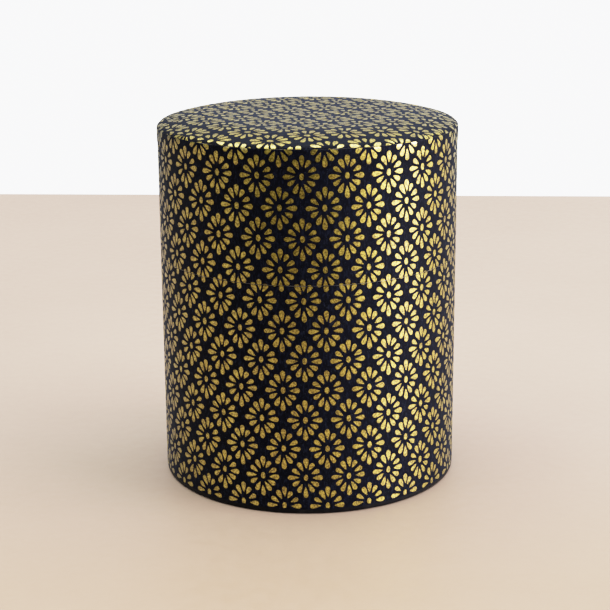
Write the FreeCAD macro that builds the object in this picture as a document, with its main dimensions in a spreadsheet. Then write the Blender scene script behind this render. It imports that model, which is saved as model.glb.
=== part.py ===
"""Paper-covered tea caddy: a tinplate can, a drop-in inner lid and a domed outer lid.

The origin is the centre of the underside, +Z is up and lengths are in millimetres.
Every round piece is one profile sketch, drawn right of the axis and revolved about it.
"""
import FreeCAD, Part
import math
import os
import Sketcher

SIZES = {
    # sheet metal and paper
    "wall_radius": 38.38,
    "sheet_thickness": 0.3,
    "paper_thickness": 0.12,
    "lap_angle": 8.0,
    # foot and bottom
    "foot_height": 1.3,
    "foot_width": 1.98,
    "foot_outer_round": 0.7,
    "foot_inner_round": 0.3,
    "floor_underside": 1.7,
    "flange_depth": 2.7,
    # where the outer lid meets the can
    "seam_level": 58.9,
    "seam_gap": 0.05,
    # inner sleeve that the outer lid slides over
    "sleeve_bottom": 42.0,
    "neck_top": 77.8,
    "neck_inset": 0.2,
    "neck_taper": 0.8,
    "curl_size": 1.0,
    "curl_round": 0.45,
    # drop-in inner lid
    "dish_radius": 36.5,
    "dish_depth": 6.3,
    "dish_round": 1.5,
    "rim_radius": 37.7,
    "rim_thickness": 0.6,
    "rim_round": 0.25,
    # knob, its washer and its rivet
    "knob_radius": 7.0,
    "knob_height": 9.5,
    "knob_stem_radius": 3.2,
    "knob_stem_height": 4.6,
    "knob_edge_round": 1.9,
    "knob_neck_round": 1.2,
    "shank_radius": 1.5,
    "shank_depth": 5.0,
    "hole_clearance": 0.05,
    "washer_radius": 5.0,
    "washer_thickness": 0.5,
    "rivet_head_radius": 2.8,
    "rivet_head_height": 1.0,
    "rivet_round": 0.7,
    # domed crown of the outer lid
    "crown_top": 94.63,
    "crown_flat_radius": 24.0,
    "crown_edge_level": 91.4,
    "crown_edge_round": 1.33,
    "crown_flange_depth": 4.0,
    # margins of the papers on the outer lid
    "margin_depth": 3.0,
    "margin_slope": 0.6,
    "turnover_height": 0.6,
}

START, END, CENTRE = 1, 2, 3
ORIGIN = -1
ARC_START, ARC_END = START, END
# the direction of +Y, where the papers lap, in degrees about the axis from +X
BACK_ANGLE = 90


def value(text):
    """Work out a sum of sizes, such as 'wall_radius - sheet_thickness'."""
    total = 0.0
    sign = 1
    for word in text.split():
        if word == "+":
            sign = 1
        elif word == "-":
            sign = -1
        elif word != "0":
            total += sign * SIZES[word]
    return total


def bound(text):
    """The same sum written for setExpression, reading the cells of the sheet."""
    return " ".join("Sizes." + word if word in SIZES else word for word in text.split())


def make_sheet(document):
    sheet = document.addObject("Spreadsheet::Sheet", "Sizes")
    for row, (alias, number) in enumerate(SIZES.items(), start=1):
        sheet.set(f"A{row}", alias)
        sheet.set(f"B{row}", str(number))
        sheet.setAlias(f"B{row}", alias)
    document.recompute()


def origin_plane(body, role):
    return next(plane for plane in body.Origin.OriginFeatures if plane.Role == role)


class Profile:
    """A closed outline in the plane of the axis, each size bound to the sheet."""

    def __init__(self, body, name, turn=0.0):
        self.sketch = body.newObject("Sketcher::SketchObject", name)
        self.sketch.AttachmentSupport = [(origin_plane(body, "XZ_Plane"), "")]
        self.sketch.MapMode = "FlatFace"
        spin = FreeCAD.Rotation(FreeCAD.Vector(0, 1, 0), turn)
        self.sketch.AttachmentOffset = FreeCAD.Placement(FreeCAD.Vector(0, 0, 0), spin)

    def line(self, start, end):
        return self.sketch.addGeometry(Part.LineSegment(to_vector(start), to_vector(end)))

    def arc(self, centre, radius, first, last):
        circle = Part.Circle(to_vector(centre), FreeCAD.Vector(0, 0, 1), radius)
        return self.sketch.addGeometry(Part.ArcOfCircle(circle, first, last))

    def rule(self, *terms):
        return self.sketch.addConstraint(Sketcher.Constraint(*terms))

    def join(self, *ends):
        self.rule("Coincident", *ends)

    def smooth(self, *ends):
        self.rule("Tangent", *ends)

    def place(self, edge, end, across=None, up=None):
        """Hold a point at a sum of sizes from the axis and from the base."""
        for kind, text in (("DistanceX", across), ("DistanceY", up)):
            if text is not None:
                number = self.rule(kind, ORIGIN, START, edge, end, value(text))
                self.bind(number, text)

    def radius(self, edge, text):
        self.bind(self.rule("Radius", edge, value(text)), text)

    def bind(self, number, text):
        if text != "0":
            self.sketch.setExpression(f"Constraints[{number}]", bound(text))


def to_vector(point):
    return FreeCAD.Vector(point[0], point[1], 0)


def toward(start, end, distance):
    """The point that lies the given distance from start towards end."""
    length = math.dist(start, end)
    return tuple(a + (b - a) * distance / length for a, b in zip(start, end))


def draw_corners(profile, corners):
    """Draw a closed outline from (across, up) corners; a third item rounds a corner.

    A rounded corner lies between an upright and a level edge.
    """
    count = len(corners)
    points = [(value(corner[0]), value(corner[1])) for corner in corners]
    rounds = [corner[2] if len(corner) > 2 else None for corner in corners]
    edges = []
    for index in range(count):
        after = (index + 1) % count
        start, end = points[index], points[after]
        trimmed_start = toward(start, end, value(rounds[index])) if rounds[index] else start
        trimmed_end = toward(end, start, value(rounds[after])) if rounds[after] else end
        edges.append(profile.line(trimmed_start, trimmed_end))
    for index in range(count):
        before, edge = edges[index - 1], edges[index]
        if rounds[index]:
            round_corner(profile, before, edge, points, index, rounds[index])
        else:
            profile.join(before, END, edge, START)
            profile.place(edge, START, corners[index][0], corners[index][1])
    for index in range(count):
        after = (index + 1) % count
        if not rounds[index] and not rounds[after]:
            continue
        upright = corners[index][0] == corners[after][0]
        profile.rule("Vertical" if upright else "Horizontal", edges[index])
        if rounds[index] and rounds[after]:
            if upright:
                profile.place(edges[index], START, across=corners[index][0])
            else:
                profile.place(edges[index], START, up=corners[index][1])


def round_corner(profile, before, edge, points, index, text):
    """Put a tangent arc between two edges that meet at a corner."""
    size = value(text)
    corner = points[index]
    came_from = toward(corner, points[index - 1], size)
    goes_to = toward(corner, points[(index + 1) % len(points)], size)
    centre = (came_from[0] + goes_to[0] - corner[0], came_from[1] + goes_to[1] - corner[1])
    first = math.atan2(came_from[1] - centre[1], came_from[0] - centre[0])
    last = math.atan2(goes_to[1] - centre[1], goes_to[0] - centre[0])
    anticlockwise = (last - first) % (2 * math.pi) < math.pi
    if anticlockwise:
        arc = profile.arc(centre, size, first, last)
        profile.smooth(before, END, arc, ARC_START)
        profile.smooth(arc, ARC_END, edge, START)
    else:
        arc = profile.arc(centre, size, last, first)
        profile.smooth(before, END, arc, ARC_END)
        profile.smooth(arc, ARC_START, edge, START)
    profile.radius(arc, text)


def new_body(document, name):
    body = document.addObject("PartDesign::Body", name)
    body.Label = name
    body.Placement = FreeCAD.Placement()
    return body


def revolve(body, profile, name, angle_text=None):
    feature = body.newObject("PartDesign::Revolution", name)
    feature.Profile = profile.sketch
    feature.ReferenceAxis = (profile.sketch, ["V_Axis"])
    feature.Angle = value(angle_text) if angle_text else 360
    if angle_text:
        feature.setExpression("Angle", bound(angle_text))
    body.Document.recompute()
    return feature


def turned_piece(document, name, corners):
    """A piece that is one cornered outline turned all the way round."""
    body = new_body(document, name)
    profile = Profile(body, name + "_outline")
    draw_corners(profile, corners)
    revolve(body, profile, name + "_turned")
    return body


def add_lap(body, bottom, top):
    """The strip at the back where the end of a paper overlaps its start."""
    start = BACK_ANGLE - SIZES["lap_angle"] / 2
    profile = Profile(body, body.Label + "_lap_outline", turn=start)
    angle_cell = "AttachmentOffset.Rotation.Angle"
    profile.sketch.setExpression(angle_cell, f"{BACK_ANGLE} - Sizes.lap_angle / 2")
    inner = "wall_radius + paper_thickness"
    outer = inner + " + paper_thickness"
    draw_corners(profile, [(inner, bottom), (outer, bottom), (outer, top), (inner, top)])
    revolve(body, profile, body.Label + "_lap", "lap_angle")


# ---- the can --------------------------------------------------------------------------

INSIDE_WALL = "wall_radius - sheet_thickness"
INSIDE_SLEEVE = INSIDE_WALL + " - sheet_thickness"
FOOT_INSIDE = "wall_radius - foot_width"
FLOOR_TOP = "floor_underside + sheet_thickness"


def make_can_wall(document):
    """The tube of the can, standing on the foot bead."""
    return turned_piece(document, "can_wall", [
        (INSIDE_WALL, "foot_height"),
        ("wall_radius", "foot_height"),
        ("wall_radius", "seam_level"),
        (INSIDE_WALL, "seam_level"),
    ])


def make_base_plate(document):
    """The bottom: a raised floor, a foot bead and a flange inside the wall."""
    flange_top = "foot_height + flange_depth"
    return turned_piece(document, "base_plate", [
        ("0", "floor_underside"),
        (FOOT_INSIDE, "floor_underside"),
        (FOOT_INSIDE, "0", "foot_inner_round"),
        ("wall_radius", "0", "foot_outer_round"),
        ("wall_radius", "foot_height"),
        (INSIDE_WALL, "foot_height"),
        (INSIDE_WALL, flange_top),
        (INSIDE_SLEEVE, flange_top),
        (INSIDE_SLEEVE, FLOOR_TOP),
        ("0", FLOOR_TOP),
    ])


def make_neck_sleeve(document):
    """The sleeve pressed into the can, with a narrower neck and a rim curled inwards."""
    neck_outside = INSIDE_WALL + " - neck_inset"
    neck_inside = neck_outside + " - sheet_thickness"
    curl_inside = neck_outside + " - curl_size"
    curl_bottom = "neck_top - curl_size"
    shoulder = "seam_level - neck_taper"
    return turned_piece(document, "neck_sleeve", [
        (INSIDE_SLEEVE, "sleeve_bottom"),
        (INSIDE_WALL, "sleeve_bottom"),
        (INSIDE_WALL, shoulder),
        (neck_outside, "seam_level"),
        (neck_outside, "neck_top", "curl_round"),
        (curl_inside, "neck_top", "curl_round"),
        (curl_inside, curl_bottom),
        (neck_inside, curl_bottom),
        (neck_inside, "seam_level"),
        (INSIDE_SLEEVE, shoulder),
    ])


def make_body_wrap(document):
    """The paper round the can, lapped at the back."""
    outside = "wall_radius + paper_thickness"
    body = turned_piece(document, "body_wrap", [
        ("wall_radius", "foot_height"),
        (outside, "foot_height"),
        (outside, "seam_level"),
        ("wall_radius", "seam_level"),
    ])
    add_lap(body, "foot_height", "seam_level")
    return body


# ---- the inner lid --------------------------------------------------------------------

DISH_UNDERSIDE = "neck_top - dish_depth"
DISH_FLOOR = DISH_UNDERSIDE + " + sheet_thickness"
HOLE_RADIUS = "shank_radius + hole_clearance"
WASHER_UNDERSIDE = DISH_UNDERSIDE + " - washer_thickness"


def make_inner_lid_dish(document):
    """The pressed dish that drops into the neck and hangs by its rim."""
    dish_inside = "dish_radius - sheet_thickness"
    rim_top = "neck_top + rim_thickness"
    return turned_piece(document, "inner_lid_dish", [
        (HOLE_RADIUS, DISH_UNDERSIDE),
        ("dish_radius", DISH_UNDERSIDE, "dish_round"),
        ("dish_radius", "neck_top"),
        ("rim_radius", "neck_top"),
        ("rim_radius", rim_top, "rim_round"),
        (dish_inside, rim_top, "rim_round"),
        (dish_inside, DISH_FLOOR, "knob_neck_round"),
        (HOLE_RADIUS, DISH_FLOOR),
    ])


def make_inner_lid_knob(document):
    """The knob, drilled from below for the rivet's shank."""
    head_bottom = DISH_FLOOR + " + knob_stem_height"
    head_top = DISH_FLOOR + " + knob_height"
    bore_top = DISH_FLOOR + " + shank_depth"
    return turned_piece(document, "inner_lid_knob", [
        ("shank_radius", DISH_FLOOR),
        ("knob_stem_radius", DISH_FLOOR),
        ("knob_stem_radius", head_bottom, "knob_neck_round"),
        ("knob_radius", head_bottom, "knob_neck_round"),
        ("knob_radius", head_top, "knob_edge_round"),
        ("0", head_top),
        ("0", bore_top),
        ("shank_radius", bore_top),
    ])


def make_knob_washer(document):
    """The washer that spreads the rivet's pull under the dish."""
    return turned_piece(document, "knob_washer", [
        (HOLE_RADIUS, WASHER_UNDERSIDE),
        ("washer_radius", WASHER_UNDERSIDE),
        ("washer_radius", DISH_UNDERSIDE),
        (HOLE_RADIUS, DISH_UNDERSIDE),
    ])


def make_knob_rivet(document):
    """The rivet through washer and dish, with its shank pressed into the knob."""
    head_bottom = WASHER_UNDERSIDE + " - rivet_head_height"
    shank_top = DISH_FLOOR + " + shank_depth"
    return turned_piece(document, "knob_rivet", [
        ("0", head_bottom),
        ("rivet_head_radius", head_bottom, "rivet_round"),
        ("rivet_head_radius", WASHER_UNDERSIDE),
        ("shank_radius", WASHER_UNDERSIDE),
        ("shank_radius", shank_top),
        ("0", shank_top),
    ])


# ---- the outer lid --------------------------------------------------------------------

LID_BOTTOM = "seam_level + seam_gap"
EDGE_CENTRE = "wall_radius - crown_edge_round"


class Dome:
    """One skin of the crown: a flat middle, a shoulder arc and a tight edge arc.

    rise is how far the skin lies above the crown's metal surface, as a sum of sizes
    that starts with its sign. The shoulder's radius follows from its two tangents.
    edge_start is the angle at which the edge arc meets what lies below it.
    """

    def __init__(self, profile, rise, edge_start=0.0):
        self.top = "crown_top" + rise
        self.edge_round = "crown_edge_round" + rise
        flat, level = value("crown_flat_radius"), value(self.top)
        edge_centre = (value(EDGE_CENTRE), value("crown_edge_level"))
        edge_size = value(self.edge_round)
        reach = edge_centre[0] - flat
        drop = level - edge_centre[1]
        shoulder_size = (reach ** 2 + drop ** 2 - edge_size ** 2) / (2 * (drop - edge_size))
        shoulder_centre = (flat, level - shoulder_size)
        meeting = math.atan2(edge_centre[1] - shoulder_centre[1], reach)
        self.flat_line = profile.line((0, level), (flat, level))
        self.shoulder = profile.arc(shoulder_centre, shoulder_size, meeting, math.pi / 2)
        self.edge_arc = profile.arc(edge_centre, edge_size, edge_start, meeting)
        profile.place(self.flat_line, START, "0", self.top)
        profile.rule("Horizontal", self.flat_line)
        profile.place(self.flat_line, END, across="crown_flat_radius")
        profile.smooth(self.flat_line, END, self.shoulder, ARC_END)
        profile.smooth(self.shoulder, ARC_START, self.edge_arc, ARC_END)
        profile.place(self.edge_arc, CENTRE, EDGE_CENTRE, "crown_edge_level")


def chain(profile, points):
    """Straight edges through a list of (across, up) sums; returns the edges."""
    places = [(value(across), value(up)) for across, up in points]
    edges = [profile.line(start, end) for start, end in zip(places, places[1:])]
    for before, after in zip(edges, edges[1:]):
        profile.join(before, END, after, START)
    for edge, (across, up) in zip(edges[1:], points[1:-1]):
        profile.place(edge, START, across, up)
    return edges


def make_lid_wall(document):
    """The tube of the outer lid, resting on the top edge of the can."""
    return turned_piece(document, "lid_wall", [
        (INSIDE_WALL, LID_BOTTOM),
        ("wall_radius", LID_BOTTOM),
        ("wall_radius", "crown_edge_level"),
        (INSIDE_WALL, "crown_edge_level"),
    ])


def make_lid_crown(document):
    """The domed top plate, its flange fitted inside the lid's wall."""
    body = new_body(document, "lid_crown")
    profile = Profile(body, "lid_crown_outline")
    inner_round = value("crown_edge_round - sheet_thickness")
    flange_angle = math.acos((value(INSIDE_SLEEVE) - value(EDGE_CENTRE)) / inner_round)
    outside = Dome(profile, "")
    inside = Dome(profile, " - sheet_thickness", flange_angle)
    flange_bottom = "crown_edge_level - crown_flange_depth"
    corner_height = inner_round * math.sin(flange_angle)
    edges = chain(profile, [
        ("wall_radius", "crown_edge_level"),
        (INSIDE_WALL, "crown_edge_level"),
        (INSIDE_WALL, flange_bottom),
        (INSIDE_SLEEVE, flange_bottom),
    ])
    meeting = (value(INSIDE_SLEEVE), value("crown_edge_level") + corner_height)
    flange = profile.line((value(INSIDE_SLEEVE), value(flange_bottom)), meeting)
    middle = profile.line((0, value(inside.top)), (0, value(outside.top)))
    profile.join(outside.edge_arc, ARC_START, edges[0], START)
    profile.place(edges[0], START, "wall_radius", "crown_edge_level")
    profile.join(edges[-1], END, flange, START)
    profile.place(flange, START, INSIDE_SLEEVE, flange_bottom)
    profile.rule("Vertical", flange)
    profile.join(flange, END, inside.edge_arc, ARC_START)
    profile.radius(inside.edge_arc, inside.edge_round)
    profile.join(inside.flat_line, START, middle, START)
    profile.join(middle, END, outside.flat_line, START)
    revolve(body, profile, "lid_crown_turned")
    return body


def make_lid_top_wrap(document):
    """The paper disc on the crown, its margin turned down round the edge."""
    body = new_body(document, "lid_top_wrap")
    profile = Profile(body, "lid_top_wrap_outline")
    outside = Dome(profile, " + paper_thickness")
    inside = Dome(profile, "")
    margin_bottom = "crown_edge_level - margin_depth"
    paper_outside = "wall_radius + paper_thickness"
    edges = chain(profile, [
        (paper_outside, "crown_edge_level"),
        (paper_outside, margin_bottom),
        ("wall_radius", margin_bottom),
        ("wall_radius", "crown_edge_level"),
    ])
    middle = profile.line((0, value(inside.top)), (0, value(outside.top)))
    profile.join(outside.edge_arc, ARC_START, edges[0], START)
    profile.place(edges[0], START, paper_outside, "crown_edge_level")
    profile.join(edges[-1], END, inside.edge_arc, ARC_START)
    profile.place(edges[-1], END, "wall_radius", "crown_edge_level")
    profile.join(inside.flat_line, START, middle, START)
    profile.join(middle, END, outside.flat_line, START)
    revolve(body, profile, "lid_top_wrap_turned")
    return body


def make_lid_side_wrap(document):
    """The paper band on the lid; its upper edge laps over the margin of the disc."""
    body = new_body(document, "lid_side_wrap")
    profile = Profile(body, "lid_side_wrap_outline")
    paper_outside = "wall_radius + paper_thickness"
    lapped_outside = paper_outside + " + paper_thickness"
    margin_bottom = "crown_edge_level - margin_depth"
    slope_bottom = margin_bottom + " - margin_slope"
    cut_level = "crown_edge_level + turnover_height"
    centre = (value(EDGE_CENTRE), value("crown_edge_level"))
    lapped_round = "crown_edge_round + paper_thickness + paper_thickness"
    under_round = "crown_edge_round + paper_thickness"
    arcs = []
    ends = []
    for text in (lapped_round, under_round):
        size = value(text)
        sweep = math.asin(value("turnover_height") / size)
        arcs.append(profile.arc(centre, size, 0, sweep))
        ends.append((centre[0] + size * math.cos(sweep), value(cut_level)))
    edges = chain(profile, [
        (paper_outside, "crown_edge_level"),
        (paper_outside, margin_bottom),
        ("wall_radius", slope_bottom),
        ("wall_radius", LID_BOTTOM),
        (paper_outside, LID_BOTTOM),
        (paper_outside, slope_bottom),
        (lapped_outside, margin_bottom),
        (lapped_outside, "crown_edge_level"),
    ])
    cut = profile.line(ends[0], ends[1])
    for arc in arcs:
        profile.place(arc, CENTRE, EDGE_CENTRE, "crown_edge_level")
    profile.place(edges[0], START, paper_outside, "crown_edge_level")
    profile.place(edges[-1], END, lapped_outside, "crown_edge_level")
    profile.join(edges[-1], END, arcs[0], ARC_START)
    profile.join(arcs[0], ARC_END, cut, START)
    profile.join(cut, END, arcs[1], ARC_END)
    profile.join(arcs[1], ARC_START, edges[0], START)
    profile.rule("Horizontal", cut)
    profile.place(cut, START, up=cut_level)
    revolve(body, profile, "lid_side_wrap_turned")
    add_lap(body, LID_BOTTOM, slope_bottom)
    return body


# ---- the whole ------------------------------------------------------------------------

MAKERS = (
    make_base_plate,
    make_can_wall,
    make_neck_sleeve,
    make_body_wrap,
    make_inner_lid_dish,
    make_inner_lid_knob,
    make_knob_washer,
    make_knob_rivet,
    make_lid_wall,
    make_lid_crown,
    make_lid_side_wrap,
    make_lid_top_wrap,
)


def check(document, bodies):
    """Stop if any object failed to build or any piece isn't one sound solid."""
    for item in document.Objects:
        if "Invalid" in item.State or "Error" in item.State:
            raise RuntimeError(f"{item.Label} failed to build: {item.State}")
    for body in bodies:
        shape = body.Shape
        if shape.isNull() or not shape.isValid() or len(shape.Solids) != 1:
            raise RuntimeError(f"{body.Label} isn't one valid solid")


def main():
    document = FreeCAD.newDocument("tea_caddy")
    make_sheet(document)
    bodies = [maker(document) for maker in MAKERS]
    document.recompute()
    check(document, bodies)
    os.makedirs("parts", exist_ok=True)
    for body in bodies:
        body.Shape.exportStep(f"parts/{body.Label}.step")
        box = body.Shape.BoundBox
        print(f"{body.Label:16s} {body.Shape.Volume:9.1f} mm3"
              f"  z {box.ZMin:7.2f} to {box.ZMax:7.2f}  r {box.XMax:6.2f}")


main()
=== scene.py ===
"""A tea caddy covered in printed washi: paper, gold print, tinplate and lacquer on the CAD frame.

Everything is in metres. The axis of the caddy is Z; the front faces -Y and the papers' laps are at +Y.
"""
import math

import bmesh
import bpy
import numpy as np
from mathutils import Matrix, Vector


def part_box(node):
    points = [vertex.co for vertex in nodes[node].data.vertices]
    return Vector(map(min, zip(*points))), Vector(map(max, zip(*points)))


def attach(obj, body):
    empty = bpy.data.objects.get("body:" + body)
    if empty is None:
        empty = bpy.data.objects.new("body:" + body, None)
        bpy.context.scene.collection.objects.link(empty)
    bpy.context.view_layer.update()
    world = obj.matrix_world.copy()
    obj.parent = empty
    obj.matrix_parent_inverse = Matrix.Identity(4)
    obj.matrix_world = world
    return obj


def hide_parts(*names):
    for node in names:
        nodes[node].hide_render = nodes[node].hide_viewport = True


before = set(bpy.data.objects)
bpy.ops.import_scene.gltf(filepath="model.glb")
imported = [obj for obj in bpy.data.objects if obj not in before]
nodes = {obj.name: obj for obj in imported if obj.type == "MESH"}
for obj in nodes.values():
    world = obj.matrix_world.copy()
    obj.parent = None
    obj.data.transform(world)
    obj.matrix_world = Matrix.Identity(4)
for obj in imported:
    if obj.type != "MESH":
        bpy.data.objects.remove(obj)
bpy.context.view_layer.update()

MM = 0.001

# ---- sizes read from the frame ---------------------------------------------------------

WALL_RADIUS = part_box("can_wall")[1].x
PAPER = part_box("body_wrap")[1].x - WALL_RADIUS
PAPER_RADIUS = WALL_RADIUS + PAPER
FOOT_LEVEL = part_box("body_wrap")[0].z
SEAM_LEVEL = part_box("body_wrap")[1].z
LID_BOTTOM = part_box("lid_side_wrap")[0].z
BAND_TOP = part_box("lid_side_wrap")[1].z
MARGIN_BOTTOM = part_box("lid_top_wrap")[0].z
DISC_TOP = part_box("lid_top_wrap")[1].z
EDGE_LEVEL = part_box("lid_wall")[1].z

# ---- the crown's outline, as in the CAD model ------------------------------------------

CROWN_FLAT_RADIUS = 24.0 * MM
CROWN_EDGE_ROUND = 1.33 * MM
# the lid's band climbs onto the disc's turned-down margin over this height
MARGIN_SLOPE = 0.6 * MM
TINY = 0.001 * MM

# ---- the printed pattern ---------------------------------------------------------------

PITCH_ACROSS = 10.825 * MM
PITCH_UP = 15.125 * MM
ROW_DRIFT = 0.034 * MM
# the gold stands this far out of the sheet and reaches this far into it
LIFT = 0.03 * MM
SINK = 0.02 * MM
# sheet, gold and a little slack together are as thick as the CAD model's paper
SLACK = 0.012 * MM
SHEET = PAPER - LIFT - SLACK
# how far hand cutting of the stencil strays
FRAY = 0.02 * MM
FRAY_FULL_WIDTH = 20 * FRAY
PETAL_SHIFT = 0.03 * MM
PETAL_TURN = math.radians(1.5)
PETAL_STRETCH = 0.025
# bare paper left below the pattern at the foot and on the disc's margin, and at every other cut
FOOT_BARE = 0.3 * MM
MARGIN_BARE = 0.3 * MM
CUT_BARE = 0.05 * MM
SMALLEST_SCRAP = 0.12 * MM
DOT_SIZE = (0.55 * MM, 0.83 * MM)
# one flower, fitted to the average printed one and rounded: direction in degrees, then
# sideways shift, inner end, outer end and width in millimetres
PETALS = (
    (0, -0.05, 1.70, 4.20, 1.30),
    (29, 0.15, 1.75, 3.90, 1.19),
    (60, 0.35, 2.15, 4.25, 1.16),
    (93, -0.20, 2.35, 5.10, 1.24),
    (117, -0.15, 1.80, 4.45, 1.26),
    (145, 0.15, 1.65, 3.95, 1.15),
    (183, -0.10, 1.70, 4.50, 1.17),
    (216, -0.20, 1.60, 3.90, 1.15),
    (247, -0.10, 1.85, 4.45, 1.21),
    (273, -0.20, 2.45, 5.30, 1.21),
    (303, -0.45, 1.65, 4.25, 1.13),
    (333, -0.40, 1.55, 3.75, 1.21),
)
# where along its length a petal is widest, how full its tail is and how blunt its head
PETAL_WIDEST = 0.8
PETAL_TAPER = 0.95
PETAL_BLUNTNESS = 1.7
# no petal or dot reaches further than this from its flower's centre
FLOWER_REACH = 6 * MM
# where a flower's centre falls: across from the front line, up from the base; the rows are
# half a pitch apart and count down from that flower
BODY_FLOWER = (-1.373 * MM, 85.433 * MM)
BAND_FLOWER = (-1.506 * MM, 85.565 * MM)
BODY_ROWS = range(3, 13)
BAND_ROWS = range(-2, 5)
# the same on the disc, from its middle, with the turn of the whole pattern
DISC_FLOWER = (-0.10 * MM, -31.48 * MM)
DISC_TURN = math.radians(71.96)
DISC_ROWS = range(-14, 15)
DISC_COLUMNS = range(-12, 13)
# beyond this far out along the disc's skin, its islands bend over the rounded edge
DISC_BEND = CROWN_FLAT_RADIUS + 11 * MM

# ---- the lap joint at the back ---------------------------------------------------------

LAP_HALF = math.radians(4)
LAP_RAMP = math.radians(1.2)
CUT_ANGLE = math.pi + LAP_HALF

# ---- how finely the pieces are meshed --------------------------------------------------

SEGMENTS = 288
RAMP_STEPS = 6
FLAT_RINGS = 6
ROUND_POINTS = 12
UPRIGHT_RINGS = 10
MARGIN_RINGS = 4
BRIM_POINTS = 7
PETAL_STEPS = 15
DOT_SIDES = 18
# distance between an island's rungs: where it lies flat, and where it bends over an edge
FLAT_RUNG = 0.5 * MM
BAND_EDGE_RUNG = 0.12 * MM
DISC_EDGE_RUNG = 0.15 * MM
FEWEST_RUNGS = 8
HAIR = 1e-12
WELD_DISTANCE = 1e-7
# edges sharper than these, in degrees, stay sharp when shaded
SHARP_ANGLE = 35
INK_SHARP_ANGLE = 40


def smoothstep(x):
    """An even start and stop between 0 and 1."""
    x = np.clip(x, 0, 1)
    return x * x * (3 - 2 * x)


def crowded(count):
    """Values from 0 to 1, closer together towards both ends."""
    return (1 - np.cos(np.linspace(0, math.pi, count))) / 2


def lap_rise(turn):
    """How far the paper stands off at an angle from the front, where it lies over its own start."""
    turn = np.mod(np.asarray(turn, float) - CUT_ANGLE, 2 * math.pi)
    back = 2 * math.pi - turn
    return PAPER * smoothstep((2 * LAP_HALF + LAP_RAMP - back) / LAP_RAMP)


class Skin:
    """A paper's outer surface, turned about the axis from (radius, height) points along it."""

    def __init__(self, points, lapped=False):
        self.radius, self.height = np.array(points, float).T
        steps = np.hypot(np.diff(self.radius), np.diff(self.height))
        self.along = np.concatenate([[0], np.cumsum(steps)])
        self.lapped = lapped
        slope_r = np.gradient(self.radius, self.along)
        slope_z = np.gradient(self.height, self.along)
        size = np.hypot(slope_r, slope_z)
        outward = 1 if slope_z[len(slope_z) // 2] > 0 else -1
        self.normal_r = outward * slope_z / size
        self.normal_z = -outward * slope_r / size

    def place(self, turn, along, lift):
        """Points at angles from the front, at lengths along the outline, lifted off the paper."""
        turn, along = np.asarray(turn, float), np.asarray(along, float)
        if self.lapped:
            fade = np.interp(along, self.along, self.height)
            fade = np.clip((MARGIN_BOTTOM - fade) / MARGIN_SLOPE, 0, 1)
            lift = lift + lap_rise(turn) * fade
        radius = np.interp(along, self.along, self.radius)
        radius = radius + lift * np.interp(along, self.along, self.normal_r)
        height = np.interp(along, self.along, self.height)
        height = height + lift * np.interp(along, self.along, self.normal_z)
        return np.stack([radius * np.sin(turn), -radius * np.cos(turn), height], -1)


def arc_points(centre, size, first, last, count):
    """Points on an arc from one angle to another, in degrees."""
    turns = np.linspace(math.radians(first), math.radians(last), count)
    return [(centre[0] + size * math.cos(t), centre[1] + size * math.sin(t)) for t in turns]


def dome_points(rise):
    """The crown's outline from its middle to its upright side, rise above the metal."""
    top = DISC_TOP - PAPER + rise
    edge_round = CROWN_EDGE_ROUND + rise
    edge_centre = (WALL_RADIUS - CROWN_EDGE_ROUND, EDGE_LEVEL)
    reach = edge_centre[0] - CROWN_FLAT_RADIUS
    drop = top - EDGE_LEVEL
    shoulder = (reach ** 2 + drop ** 2 - edge_round ** 2) / (2 * (drop - edge_round))
    shoulder_centre = (CROWN_FLAT_RADIUS, top - shoulder)
    meeting = math.degrees(math.atan2(EDGE_LEVEL - shoulder_centre[1], reach))
    flat = [(r, top) for r in np.linspace(0, CROWN_FLAT_RADIUS, FLAT_RINGS + 1)[:-1]]
    return (flat + arc_points(shoulder_centre, shoulder, 90, meeting, ROUND_POINTS)
            + arc_points(edge_centre, edge_round, meeting, 0, ROUND_POINTS)[1:])


def band_points(rise):
    """The lid band's outline from its lower edge up over the margin and onto the edge."""
    centre = (WALL_RADIUS - CROWN_EDGE_ROUND, EDGE_LEVEL)
    size = CROWN_EDGE_ROUND + PAPER + rise
    sweep = math.degrees(math.asin((BAND_TOP - EDGE_LEVEL) / size))
    slope_bottom = MARGIN_BOTTOM - MARGIN_SLOPE
    upright_levels = np.linspace(LID_BOTTOM, slope_bottom, UPRIGHT_RINGS)
    margin_levels = np.linspace(MARGIN_BOTTOM, EDGE_LEVEL, MARGIN_RINGS)
    upright = [(WALL_RADIUS + rise, z) for z in upright_levels]
    over_margin = [(PAPER_RADIUS + rise, z) for z in margin_levels]
    return upright + over_margin + arc_points(centre, size, 0, sweep, BRIM_POINTS)[1:]


# ---- mesh helpers ----------------------------------------------------------------------


def add_mesh(name, points, faces, material, body, sharp=SHARP_ANGLE):
    """A smooth-shaded piece that moves with a body."""
    mesh = bpy.data.meshes.new(name)
    mesh.from_pydata([tuple(p) for p in points], [], faces)
    mesh.validate()
    mesh.shade_smooth()
    mesh.set_sharp_from_angle(angle=math.radians(sharp))
    mesh.materials.append(material)
    piece = bpy.data.objects.new(name, mesh)
    bpy.context.scene.collection.objects.link(piece)
    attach(piece, body)
    return piece


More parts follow.
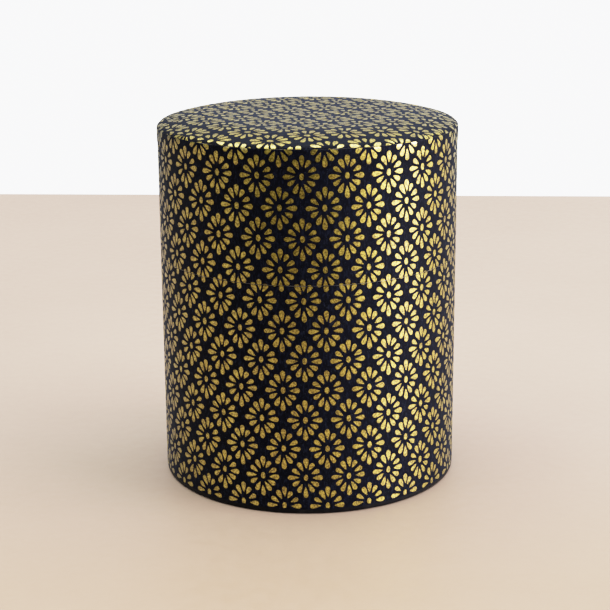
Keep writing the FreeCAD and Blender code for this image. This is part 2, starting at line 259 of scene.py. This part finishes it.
def lathe(name, outline, material, body, lapped=frozenset()):
    """Turn a closed (radius, height) outline about the axis.

    The outline's points numbered in lapped step out where the paper lies over its own start.
    """
    turns = list(np.linspace(CUT_ANGLE - 2 * math.pi, CUT_ANGLE, SEGMENTS + 1)[:-1])
    rises = [0.0] * len(turns)
    if lapped:
        ramp_start = CUT_ANGLE - 2 * LAP_HALF - LAP_RAMP
        ramp = [ramp_start + LAP_RAMP * k / RAMP_STEPS for k in range(RAMP_STEPS + 1)]
        turns = sorted(turns + ramp)
        rises = [float(lap_rise(t)) for t in turns]
        # at the cut the paper's start lies flat, and its end stands off by the paper below
        rises[0] = 0.0
        turns.append(CUT_ANGLE)
        rises.append(PAPER)
    points = []
    for turn, rise in zip(turns, rises):
        for index, (radius, height) in enumerate(outline):
            reach = radius + rise if index in lapped else radius
            points.append((reach * math.sin(turn), -reach * math.cos(turn), height))
    count, columns = len(outline), len(turns)
    faces = []
    for column in range(columns):
        here, there = column * count, (column + 1) % columns * count
        for index in range(count):
            after = (index + 1) % count
            faces.append((here + index, there + index, there + after, here + after))
    piece = add_mesh(name, points, faces, material, body)
    weld(piece)
    return piece


def weld(piece):
    """Merge points that coincide, such as those on the axis, and face all sides outwards."""
    mesh = bmesh.new()
    mesh.from_mesh(piece.data)
    bmesh.ops.remove_doubles(mesh, verts=mesh.verts, dist=WELD_DISTANCE)
    bmesh.ops.recalc_face_normals(mesh, faces=mesh.faces)
    mesh.to_mesh(piece.data)
    mesh.free()


# ---- the gold print --------------------------------------------------------------------


def petal_outline(direction, sideways, inner, outer, width):
    """A teardrop, pointed towards the flower's centre and blunt outside, and its direction."""
    share = crowded(PETAL_STEPS)
    in_tail = np.clip(share / PETAL_WIDEST, 0, 1)
    in_head = np.clip((share - PETAL_WIDEST) / (1 - PETAL_WIDEST), 0, 1)
    tail = np.sin(math.pi / 2 * in_tail ** PETAL_TAPER)
    head = (1 - in_head ** PETAL_BLUNTNESS) ** (1 / PETAL_BLUNTNESS)
    half = width / 2 * np.minimum(tail, head)
    reach = inner + share * (outer - inner)
    along = np.concatenate([reach, reach[-2:0:-1]])
    side = sideways + np.concatenate([half, -half[-2:0:-1]])
    turn = math.radians(direction)
    across = along * math.cos(turn) - side * math.sin(turn)
    up = along * math.sin(turn) + side * math.cos(turn)
    return np.stack([across, up], 1)[::-1] * MM, turn


def flower_outlines():
    """The flower's islands as (outline, long direction), about its centre."""
    shapes = [petal_outline(*petal) for petal in PETALS]
    turns = np.linspace(0, 2 * math.pi, DOT_SIDES + 1)[:-1]
    dot = np.stack([DOT_SIZE[0] * np.cos(turns), DOT_SIZE[1] * np.sin(turns)], 1)
    return shapes + [(dot[::-1], math.pi / 2)]


def clip(outline, normal, limit):
    """Keep the part of a convex outline where the dot product with normal is under limit."""
    side = outline @ np.asarray(normal, float) - limit
    if (side <= 0).all():
        return outline
    kept = []
    for index in range(len(outline)):
        here, there = outline[index], outline[(index + 1) % len(outline)]
        a, b = side[index], side[(index + 1) % len(outline)]
        if a <= 0:
            kept.append(here)
        if (a < 0 < b) or (b < 0 < a):
            kept.append(here + (there - here) * a / (a - b))
    return np.array(kept) if len(kept) > 2 else None


def rungs(outline, turn, spacing):
    """Left and right points of a convex outline at levels along a direction.

    The levels crowd towards both ends, where the outline closes.
    """
    forward = np.array([math.cos(turn), math.sin(turn)])
    sideways = np.array([-forward[1], forward[0]])
    along, across = outline @ forward, outline @ sideways
    low, high = along.argmin(), along.argmax()
    reach = along[high] - along[low]
    count = max(FEWEST_RUNGS, int(math.ceil(reach / spacing)))
    levels = along[low] + reach * crowded(count + 1)
    size = len(outline)
    chains = []
    for step in (1, -1):
        order = [low]
        while order[-1] != high:
            order.append((order[-1] + step) % size)
        # a hair's rise from point to point, so that no two are at the same level
        rising = along[order] + np.arange(len(order)) * HAIR
        chains.append(np.interp(levels, rising, across[order]))
    left = levels[:, None] * forward + chains[0][:, None] * sideways
    right = levels[:, None] * forward + chains[1][:, None] * sideways
    return left, right


class Print:
    """Closed gold islands that lie on a skin.

    to_skin turns points of the flat pattern into angles from the front and lengths along
    the skin's outline.
    """

    def __init__(self, skin, to_skin, seed):
        self.skin, self.to_skin = skin, to_skin
        self.points, self.faces, self.total = [], [], 0
        self.random = np.random.default_rng(seed)

    def hand_cut(self, outline):
        """The outline turned, stretched and shifted a little about its own middle."""
        turn = self.random.normal(0, PETAL_TURN)
        size = 1 + self.random.normal(0, PETAL_STRETCH)
        shift = self.random.normal(0, PETAL_SHIFT, 2)
        rotate = np.array([[math.cos(turn), math.sin(turn)], [-math.sin(turn), math.cos(turn)]])
        middle = outline.mean(0)
        return (outline - middle) @ rotate * size + middle + shift

    def frayed(self, left, right):
        """The two sides of an island moved in and out a little."""
        across = left - right
        width = np.hypot(*across.T)[:, None]
        fray = self.random.normal(0, FRAY, (2, len(left), 1))
        fray = fray * np.minimum(1, width / FRAY_FULL_WIDTH)
        across = across / np.maximum(width, TINY)
        return left + across * fray[0], right - across * fray[1]

    def island(self, outline, turn, spacing):
        """Add a closed slab under and over a convex outline, with rungs across its direction."""
        left, right = self.frayed(*rungs(outline, turn, spacing))
        flat = np.concatenate([left, right])
        turns, along = self.to_skin(flat)
        self.points.append(self.skin.place(turns, along, LIFT))
        self.points.append(self.skin.place(turns, along, -SINK))
        count, start = len(left), self.total
        top_l = [start + k for k in range(count)]
        top_r = [start + count + k for k in range(count)]
        low_l = [start + 2 * count + k for k in range(count)]
        low_r = [start + 3 * count + k for k in range(count)]
        for k in range(count - 1):
            self.faces += [
                (top_l[k], top_l[k + 1], top_r[k + 1], top_r[k]),
                (low_l[k], low_r[k], low_r[k + 1], low_l[k + 1]),
                (top_l[k], low_l[k], low_l[k + 1], top_l[k + 1]),
                (top_r[k], top_r[k + 1], low_r[k + 1], low_r[k]),
            ]
        self.faces += [(top_l[0], top_r[0], low_r[0], low_l[0]),
                       (top_l[-1], low_l[-1], low_r[-1], top_r[-1])]
        self.total += 4 * count

    def make(self, name, material, body):
        """All the islands as one piece."""
        points = np.concatenate(self.points)
        piece = add_mesh(name, points, self.faces, material, body, sharp=INK_SHARP_ANGLE)
        weld(piece)
        return piece


def print_band(name, skin, bottom, bare, flower, rows, material, body, seed):
    """The pattern on an upright paper, cut at its edges and at the lap."""
    length = skin.along[-1]
    whole_turn = 2 * math.pi * PAPER_RADIUS
    cut = CUT_ANGLE * PAPER_RADIUS
    straight = min(EDGE_LEVEL - bottom, length)
    # the sheet's four edges, each as the way out over it and how far the pattern goes that way
    edges = (((1, 0), cut - CUT_BARE), ((-1, 0), whole_turn - cut - CUT_BARE),
             ((0, 1), length - CUT_BARE), ((0, -1), -bare))

    def to_skin(flat):
        return flat[:, 0] / PAPER_RADIUS, flat[:, 1]

    band = Print(skin, to_skin, seed)
    shapes = flower_outlines()
    columns = int(whole_turn / PITCH_ACROSS) + 3
    for row in rows:
        up = flower[1] - row * PITCH_UP / 2 - bottom
        shift = 0.5 if row % 2 else 0.0
        for column in range(-columns, columns):
            across = flower[0] + row * ROW_DRIFT + (column + shift) * PITCH_ACROSS
            if not cut - whole_turn - FLOWER_REACH < across < cut + FLOWER_REACH:
                continue
            if not -FLOWER_REACH < up < length + FLOWER_REACH:
                continue
            for outline, turn in shapes:
                shape = band.hand_cut(outline) + (across, up)
                for normal, limit in edges:
                    if shape is not None:
                        shape = clip(shape, normal, limit)
                if shape is None or np.ptp(shape, 0).min() < SMALLEST_SCRAP:
                    continue
                over_edge = shape[:, 1].max() > straight
                band.island(shape, math.pi / 2 if over_edge else turn,
                            BAND_EDGE_RUNG if over_edge else FLAT_RUNG)
    return band.make(name, material, body)


def print_disc(name, skin, reach, material, body, seed):
    """The pattern on the lid's disc, running down over the rounded edge."""

    def to_skin(flat):
        return np.arctan2(flat[:, 0], -flat[:, 1]), np.hypot(flat[:, 0], flat[:, 1])

    disc = Print(skin, to_skin, seed)
    shapes = flower_outlines()
    cos_t, sin_t = math.cos(DISC_TURN), math.sin(DISC_TURN)
    rotate = np.array([[cos_t, sin_t], [-sin_t, cos_t]])
    for row in DISC_ROWS:
        shift = 0.5 if row % 2 else 0.0
        for column in DISC_COLUMNS:
            local = np.array([(column + shift) * PITCH_ACROSS, row * PITCH_UP / 2])
            centre = local @ rotate + DISC_FLOWER
            if np.hypot(*centre) > reach + FLOWER_REACH:
                continue
            for outline, turn in shapes:
                shape = disc.hand_cut(outline) @ rotate + centre
                middle = shape.mean(0)
                radial = middle / max(np.hypot(*middle), TINY)
                shape = clip(shape, radial, reach)
                if shape is None or np.ptp(shape @ radial) < SMALLEST_SCRAP:
                    continue
                near_edge = np.hypot(*shape.T).max() > DISC_BEND
                way = math.atan2(radial[1], radial[0]) if near_edge else turn + DISC_TURN
                disc.island(shape, way, DISC_EDGE_RUNG if near_edge else FLAT_RUNG)
    return disc.make(name, material, body)


# ---- materials -------------------------------------------------------------------------


class Nodes:
    """A short way to lay out a material's nodes."""

    def __init__(self, name):
        self.material = bpy.data.materials.new(name)
        self.material.use_nodes = True
        self.tree = self.material.node_tree
        self.shader = self.tree.nodes["Principled BSDF"]
        coordinates = self.tree.nodes.new("ShaderNodeTexCoord")
        self.object_space = coordinates.outputs["Object"]

    def add(self, kind, inputs=None, **settings):
        """A node of a kind, with its inputs linked or set."""
        node = self.tree.nodes.new("ShaderNode" + kind)
        for key, setting in settings.items():
            setattr(node, key, setting)
        for key, source in (inputs or {}).items():
            self.connect(source, node.inputs[key])
        return node

    def connect(self, source, socket):
        if isinstance(source, bpy.types.NodeSocket):
            self.tree.links.new(source, socket)
        else:
            socket.default_value = source

    def set(self, **values):
        """Link or set the shader's own sockets."""
        for key, source in values.items():
            self.connect(source, self.shader.inputs[key.replace("_", " ")])

    def noise(self, scale, detail=4.0, roughness=0.5, stretch=None):
        vector = self.object_space
        if stretch:
            vector = self.add("Mapping", {"Vector": vector, "Scale": stretch}).outputs["Vector"]
        node = self.add("TexNoise", {"Vector": vector, "Scale": scale, "Detail": detail,
                                     "Roughness": roughness})
        return node.outputs["Fac"]

    def ramp(self, factor, *stops):
        """A colour ramp through (place, colour) stops."""
        node = self.add("ValToRGB", {"Fac": factor})
        elements = node.color_ramp.elements
        while len(elements) < len(stops):
            elements.new(0.5)
        for element, (place, colour) in zip(elements, stops):
            element.position = place
            element.color = (*colour, 1.0)
        return node.outputs["Color"]

    def grey(self, factor, low, high):
        """A noise, which mostly stays between 0.3 and 0.7, spread from low to high."""
        node = self.add("MapRange", {"Value": factor, "From Min": 0.3, "From Max": 0.7,
                                     "To Min": low, "To Max": high})
        return node.outputs["Result"]

    def blend(self, factor, first, second, kind="MIX"):
        """Two colours mixed; sockets 6 and 7 are the Mix node's colours."""
        node = self.add("Mix", data_type="RGBA", blend_type=kind)
        self.connect(factor, node.inputs[0])
        self.connect(first, node.inputs[6])
        self.connect(second, node.inputs[7])
        return node.outputs[2]

    def bump(self, height, distance, strength, normal=None):
        node = self.add("Bump", {"Height": height, "Distance": distance, "Strength": strength})
        if normal is not None:
            self.connect(normal, node.inputs["Normal"])
        return node.outputs["Normal"]


def paper_material():
    """Indigo-black washi: matted long fibres with a faint bloom, pale flecks of bark."""
    m = Nodes("indigo_washi")
    pulp = m.noise(700.0, 5.0, 0.6)
    fibre = m.noise(2400.0, 3.0, 0.55, stretch=(1.0, 1.0, 0.35))
    cross = m.noise(3000.0, 2.0, 0.5, stretch=(0.4, 0.4, 1.2))
    fleck = m.noise(4200.0, 1.0, 0.4)
    base = m.ramp(pulp, (0.34, (0.0003, 0.0005, 0.0014)), (0.66, (0.0013, 0.0018, 0.0044)))
    strands = m.ramp(fibre, (0.52, (0.0, 0.0, 0.0)), (0.66, (1.0, 1.0, 1.0)))
    flecks = m.ramp(fleck, (0.66, (0.0, 0.0, 0.0)), (0.78, (1.0, 1.0, 1.0)))
    tone = m.blend(strands, base, (0.0052, 0.0071, 0.0145, 1.0))
    tone = m.blend(flecks, tone, (0.020, 0.025, 0.037, 1.0))
    relief = m.bump(fibre, 0.05 * MM, 0.5)
    relief = m.bump(cross, 0.03 * MM, 0.4, relief)
    m.set(Base_Color=tone, Roughness=m.grey(pulp, 0.55, 0.72), Normal=relief,
          Specular_IOR_Level=0.04, Sheen_Weight=0.05, Sheen_Roughness=0.35,
          Sheen_Tint=(0.45, 0.62, 1.0, 1.0))
    return m.material


def gold_material():
    """Bronze-gold ink: metal flake under a clear binder, grainy and thinner in places."""
    m = Nodes("gold_ink")
    grain = m.noise(2100.0, 5.0, 0.8)
    patch = m.noise(260.0, 3.0, 0.5)
    pits = m.noise(2600.0, 3.0, 0.6)
    base = m.ramp(grain, (0.42, (0.16, 0.122, 0.010)), (0.50, (0.46, 0.362, 0.037)),
                  (0.58, (0.73, 0.59, 0.094)))
    worn = m.ramp(patch, (0.35, (0.84, 0.80, 0.74)), (0.62, (1.0, 1.0, 1.0)))
    tone = m.blend(1.0, base, worn, "MULTIPLY")
    hole = m.ramp(pits, (0.57, (0.0, 0.0, 0.0)), (0.66, (1.0, 1.0, 1.0)))
    tone = m.blend(hole, tone, (0.10, 0.066, 0.02, 1.0))
    relief = m.bump(grain, 0.05 * MM, 0.8)
    m.set(Base_Color=tone, Metallic=0.95, Roughness=m.grey(grain, 0.32, 0.46), Normal=relief,
          Specular_Tint=(0.46, 0.49, 0.60, 1.0),
          Coat_Weight=1.0, Coat_Roughness=0.27, Coat_IOR=1.66)
    return m.material


def raw_edge_material():
    """The cut edge of the paper, where undyed pulp shows here and there."""
    m = Nodes("cut_paper_edge")
    chips = m.noise(420.0, 4.0, 0.6)
    fuzz = m.noise(4200.0, 2.0, 0.6)
    tone = m.ramp(chips, (0.48, (0.003, 0.003, 0.006)), (0.58, (0.08, 0.072, 0.058)),
                  (0.70, (0.38, 0.34, 0.27)))
    m.set(Base_Color=tone, Roughness=m.grey(fuzz, 0.6, 0.85), Normal=m.bump(fuzz, 0.03 * MM, 0.6),
          Specular_IOR_Level=0.1)
    return m.material


def tinplate_material():
    """Bright rolled tinplate: fine lengthwise rolling lines and light handling marks."""
    m = Nodes("rolled_tinplate")
    lines = m.noise(900.0, 4.0, 0.6, stretch=(1.0, 1.0, 14.0))
    cloud = m.noise(60.0, 4.0, 0.55)
    marks = m.noise(500.0, 5.0, 0.7, stretch=(1.0, 2.5, 0.6))
    base = m.ramp(cloud, (0.35, (0.60, 0.60, 0.585)), (0.65, (0.76, 0.76, 0.745)))
    dull = m.ramp(marks, (0.58, (1.0, 1.0, 1.0)), (0.75, (0.82, 0.82, 0.83)))
    tone = m.blend(1.0, base, dull, "MULTIPLY")
    m.set(Base_Color=tone, Metallic=1.0, Roughness=m.grey(lines, 0.24, 0.40),
          Normal=m.bump(lines, 0.02 * MM, 0.5))
    return m.material


def lacquer_material():
    """Black baked lacquer on the bottom plate, rubbed where it slides on the table."""
    m = Nodes("black_lacquer")
    peel = m.noise(700.0, 3.0, 0.5)
    scuff = m.noise(300.0, 6.0, 0.75, stretch=(1.0, 1.0, 0.2))
    tone = m.ramp(scuff, (0.50, (0.0016, 0.0016, 0.0020)), (0.80, (0.012, 0.011, 0.010)))
    m.set(Base_Color=tone, Roughness=m.grey(scuff, 0.38, 0.60), Normal=m.bump(peel, 0.03 * MM, 0.3),
          Specular_IOR_Level=0.07)
    return m.material


def turned_steel_material():
    """Plated knob: fine turning rings and soft smudges."""
    m = Nodes("turned_steel")
    rings = m.noise(2600.0, 2.0, 0.5, stretch=(0.05, 0.05, 1.0))
    smudge = m.noise(180.0, 4.0, 0.6)
    tone = m.ramp(smudge, (0.35, (0.66, 0.66, 0.65)), (0.65, (0.82, 0.82, 0.81)))
    m.set(Base_Color=tone, Metallic=1.0, Roughness=m.grey(smudge, 0.12, 0.24),
          Normal=m.bump(rings, 0.01 * MM, 0.3))
    return m.material


def floor_material():
    """Pale table under a satin varnish that mirrors the room at low angles, painted darker and warmer
    in front: painted shade of the caddy and a painted reflection of its gold.
    """
    m = Nodes("pale_table")
    grain = m.noise(9.0, 6.0, 0.6)
    fine = m.noise(300.0, 3.0, 0.5)
    place = m.add("SeparateXYZ", {"Vector": m.object_space}).outputs["Y"]
    # in front of the caddy the table's colour is painted darker and warmer: painted shade of the caddy
    # and a painted reflection of its gold print
    front_shade_span = m.add("MapRange", {"Value": place, "From Min": -0.08, "From Max": 0.02})
    share = front_shade_span.outputs["Result"]
    front_shade_gold_reflection = m.ramp(grain, (0.35, (0.286, 0.205, 0.134)), (0.65, (0.302, 0.217, 0.144)))
    far = m.ramp(grain, (0.35, (0.318, 0.242, 0.184)), (0.65, (0.336, 0.256, 0.197)))
    tone = m.blend(share, front_shade_gold_reflection, far)
    m.set(Base_Color=tone, Roughness=m.grey(fine, 0.46, 0.56), IOR=1.7)
    return m.material


# ---- the papers ------------------------------------------------------------------------

CHAMFER = PAPER * 0.35
# the bare edge stands this far proud of the sheet and is this wide
EDGE_PROUD = 0.01 * MM
EDGE_DEPTH = 0.06 * MM


def make_papers(paper, gold, raw):
    """The three papers and their cut edges and print, in place of the CAD model's papers."""
    face = WALL_RADIUS + SHEET
    body_outline = [
        (WALL_RADIUS, FOOT_LEVEL),
        (face - CHAMFER, FOOT_LEVEL),
        (face, FOOT_LEVEL + CHAMFER),
        (face, SEAM_LEVEL - CHAMFER),
        (face - CHAMFER, SEAM_LEVEL),
        (WALL_RADIUS, SEAM_LEVEL),
    ]
    # points 1 to 4 are the outer side, which the lap pushes out
    body = lathe("body_paper", body_outline, paper, "can", lapped={1, 2, 3, 4})
    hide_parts("body_wrap")

    outer = band_points(SHEET)
    inner = band_points(0.0)[::-1]
    outer[0] = (outer[0][0], outer[0][1] + CHAMFER)
    band_outline = [(outer[0][0] - CHAMFER, LID_BOTTOM)] + outer + inner
    upright = {k for k in range(len(outer) + 1) if band_outline[k][1] < MARGIN_BOTTOM - TINY}
    band = lathe("lid_band_paper", band_outline, paper, "lid", lapped=upright)
    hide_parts("lid_side_wrap")

    over, under = dome_points(SHEET), dome_points(0.0)[::-1]
    margin = [(face, MARGIN_BOTTOM), (WALL_RADIUS, MARGIN_BOTTOM)]
    disc = lathe("lid_disc_paper", over + margin + under, paper, "lid")
    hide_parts("lid_top_wrap")

    make_cut_edges(raw)

    body_skin = Skin([(face, FOOT_LEVEL), (face, SEAM_LEVEL)], lapped=True)
    band_skin = Skin(band_points(SHEET), lapped=True)
    disc_skin = Skin(over)
    prints = [
        print_band("body_gold_print", body_skin, FOOT_LEVEL, FOOT_BARE, BODY_FLOWER, BODY_ROWS,
                   gold, "can", seed=1),
        print_band("lid_band_gold_print", band_skin, LID_BOTTOM, CUT_BARE, BAND_FLOWER, BAND_ROWS,
                   gold, "lid", seed=2),
        print_disc("lid_disc_gold_print", disc_skin, disc_skin.along[-1] - MARGIN_BARE,
                   gold, "lid", seed=3),
    ]


def make_cut_edges(raw):
    """Bare cut edges: round the can at the seam and round the top of the lid's band."""
    outside = WALL_RADIUS + SHEET + EDGE_PROUD
    seam = [
        (outside - EDGE_DEPTH, SEAM_LEVEL + EDGE_PROUD),
        (outside - EDGE_DEPTH, SEAM_LEVEL - EDGE_DEPTH),
        (outside, SEAM_LEVEL - EDGE_DEPTH),
        (outside, SEAM_LEVEL - EDGE_DEPTH / 2),
        (outside - EDGE_DEPTH / 2, SEAM_LEVEL + EDGE_PROUD),
    ]
    # points 2 to 4 face outwards and move with the lap
    edge = lathe("body_paper_cut_edge", seam, raw, "can", lapped={2, 3, 4})

    over, under = band_points(SHEET + EDGE_PROUD)[-1], band_points(0.0)[-1]
    brim = [
        (under[0], under[1] - EDGE_PROUD),
        (over[0], over[1] - EDGE_DEPTH),
        (over[0], over[1] - EDGE_PROUD),
        (over[0] - EDGE_PROUD, over[1] + EDGE_PROUD),
        (under[0] - EDGE_PROUD, under[1] + EDGE_PROUD),
    ]
    edge = lathe("lid_band_cut_edge", brim, raw, "lid")


def dress_cad_nodes(tin, lacquer, steel):
    """Metal and lacquer on the CAD model's own meshes, which stay as they are."""
    finishes = {
        "can_wall": tin, "neck_sleeve": tin, "lid_wall": tin, "lid_crown": tin,
        "inner_lid_dish": tin, "knob_washer": tin, "base_plate": lacquer,
        "inner_lid_knob": steel, "knob_rivet": steel,
    }
    for name, material in finishes.items():
        node = nodes[name]
        node.data.materials.clear()
        node.data.materials.append(material)
        for polygon in node.data.polygons:
            polygon.use_smooth = True
        node.data.set_sharp_from_angle(angle=math.radians(SHARP_ANGLE))


# ---- the stage -------------------------------------------------------------------------

TABLE_FRONT = -0.215
TABLE_BACK = 0.346
TABLE_BACK_SKEW = -0.054
TABLE_HALF_WIDTH = 1.1
TABLE_THICKNESS = 0.03

# the room's light by direction: from the dim side in front of the caddy to the wall behind
# it, and from left to right
ROOM_COLOUR = (0.93, 0.96, 1.0, 1.0)
ROOM_FRONT_TO_BACK = (0.05, 1.05)
ROOM_LEFT_TO_RIGHT = (0.30, 1.25)
WALL_COLOUR = (0.93, 0.94, 0.97, 1.0)
WALL_LEVEL = 2.5

LAMP_AIM = (0.0, 0.0, 0.05)

# scene light that prints as white, and (scene light, printed tone) on the way there
FILM_WHITE = 4.0
FILM_SHOULDER = ((0.17, 0.17), (0.35, 0.35), (0.7, 0.62), (1.0, 0.76), (1.5, 0.87), (2.5, 0.95))

CAMERA_AIM = Vector((-0.96 * MM, 0, 43.38 * MM))
CAMERA_DISTANCE = 428.5 * MM
CAMERA_PITCH = math.radians(15.807)
CAMERA_ROLL = -0.0074
# the sensor's width and the focal length, in millimetres
CAMERA_SENSOR = 36.0
CAMERA_LENS = 95.4903


def make_floor(material):
    """A pale table top that ends a little way in front of and behind the caddy."""
    skew = TABLE_BACK_SKEW * TABLE_HALF_WIDTH
    corners = ((-TABLE_HALF_WIDTH, TABLE_FRONT), (TABLE_HALF_WIDTH, TABLE_FRONT),
               (-TABLE_HALF_WIDTH, TABLE_BACK - skew), (TABLE_HALF_WIDTH, TABLE_BACK + skew))
    points = [(x, y, z) for z in (-TABLE_THICKNESS, 0) for x, y in corners]
    faces = [(0, 2, 3, 1), (4, 5, 7, 6), (0, 1, 5, 4), (2, 6, 7, 3), (0, 4, 6, 2), (1, 3, 7, 5)]
    mesh = bpy.data.meshes.new("table_top")
    mesh.from_pydata(points, [], faces)
    mesh.materials.append(material)
    table_top = bpy.data.objects.new("table_top", mesh)
    bpy.context.scene.collection.objects.link(table_top)


def make_area_light(name, place, aim, size, power, colour):
    """A soft rectangular lamp, unseen by the camera."""
    data = bpy.data.lights.new(name, "AREA")
    data.shape = "RECTANGLE"
    data.size, data.size_y = size
    data.energy = power
    data.color = colour
    lamp = bpy.data.objects.new(name, data)
    lamp.location = place
    lamp.rotation_mode = "QUATERNION"
    lamp.rotation_quaternion = (Vector(aim) - Vector(place)).to_track_quat("-Z", "Y")
    lamp.visible_camera = False
    bpy.context.scene.collection.objects.link(lamp)


def make_lights():
    """A window at the right, a weak fill at the left and a wide ceiling."""
    make_area_light("window", place=(1.09, -0.37, 0.27), aim=LAMP_AIM, size=(0.82, 0.46),
                    power=32.0, colour=(1.0, 0.92, 1.10))
    make_area_light("fill", place=(-0.95, -0.75, 0.40), aim=LAMP_AIM, size=(0.60, 0.50),
                    power=2.0, colour=(1.0, 1.0, 1.0))
    make_area_light("ceiling", place=(0.0, 0.05, 1.20), aim=(0.0, 0.05, 0.0), size=(2.4, 1.5),
                    power=56.0, colour=(1.0, 1.0, 1.0))


def spread(tree, source, first, last, levels, interpolation):
    """A level that runs between two values as a coordinate goes from first to last."""
    node = tree.nodes.new("ShaderNodeMapRange")
    node.interpolation_type = interpolation
    node.inputs["From Min"].default_value = first
    node.inputs["From Max"].default_value = last
    node.inputs["To Min"].default_value, node.inputs["To Max"].default_value = levels
    tree.links.new(source, node.inputs["Value"])
    return node.outputs["Result"]


def background(tree, colour):
    """A light of one colour all round."""
    node = tree.nodes.new("ShaderNodeBackground")
    node.inputs["Color"].default_value = colour
    return node


def make_world():
    """White room: brighter wall behind the caddy, dimmer room in front of it."""
    world = bpy.data.worlds.new("white_room")
    bpy.context.scene.world = world
    world.use_nodes = True
    tree = world.node_tree
    tree.nodes.clear()
    place = tree.nodes.new("ShaderNodeTexCoord")
    split = tree.nodes.new("ShaderNodeSeparateXYZ")
    both = tree.nodes.new("ShaderNodeMath")
    both.operation = "MULTIPLY"
    path = tree.nodes.new("ShaderNodeLightPath")
    room = background(tree, ROOM_COLOUR)
    wall = background(tree, WALL_COLOUR)
    wall.inputs["Strength"].default_value = WALL_LEVEL
    mix = tree.nodes.new("ShaderNodeMixShader")
    out = tree.nodes.new("ShaderNodeOutputWorld")
    links = tree.links
    links.new(place.outputs["Generated"], split.inputs["Vector"])
    depth = spread(tree, split.outputs["Y"], -1.0, 0.3, ROOM_FRONT_TO_BACK, "SMOOTHSTEP")
    side = spread(tree, split.outputs["X"], -1.0, 1.0, ROOM_LEFT_TO_RIGHT, "LINEAR")
    links.new(depth, both.inputs[0])
    links.new(side, both.inputs[1])
    links.new(both.outputs["Value"], room.inputs["Strength"])
    links.new(path.outputs["Is Camera Ray"], mix.inputs["Fac"])
    links.new(room.outputs["Background"], mix.inputs[1])
    links.new(wall.outputs["Background"], mix.inputs[2])
    links.new(mix.outputs["Shader"], out.inputs["Surface"])


def make_camera():
    """A long lens a little above the caddy, leaning very slightly."""
    back = Vector((0, -math.cos(CAMERA_PITCH), math.sin(CAMERA_PITCH)))
    right = Vector((1, 0, 0))
    up = Vector((0, math.sin(CAMERA_PITCH), math.cos(CAMERA_PITCH)))
    leaning_right = right * math.cos(CAMERA_ROLL) + up * math.sin(CAMERA_ROLL)
    leaning_up = up * math.cos(CAMERA_ROLL) - right * math.sin(CAMERA_ROLL)
    data = bpy.data.cameras.new("camera")
    data.sensor_width = CAMERA_SENSOR
    data.lens = CAMERA_LENS
    data.clip_start, data.clip_end = 0.01, 20.0
    camera = bpy.data.objects.new("camera", data)
    turn = Matrix((leaning_right, leaning_up, back)).transposed().to_4x4()
    camera.matrix_world = Matrix.Translation(CAMERA_AIM + back * CAMERA_DISTANCE) @ turn
    bpy.context.scene.collection.objects.link(camera)
    bpy.context.scene.camera = camera


def set_film_response():
    """Straight tones up to the middle, then a shoulder that keeps bright gold from clipping."""
    view = bpy.context.scene.view_settings
    view.view_transform = "Standard"
    view.use_curve_mapping = True
    curve = view.curve_mapping
    curve.white_level = (FILM_WHITE, FILM_WHITE, FILM_WHITE)
    combined = curve.curves[3]
    for light, tone in FILM_SHOULDER:
        combined.points.new(light / FILM_WHITE, tone)
    curve.update()


make_papers(paper_material(), gold_material(), raw_edge_material())
dress_cad_nodes(tinplate_material(), lacquer_material(), turned_steel_material())
make_floor(floor_material())
make_world()
make_lights()
make_camera()
set_film_response()
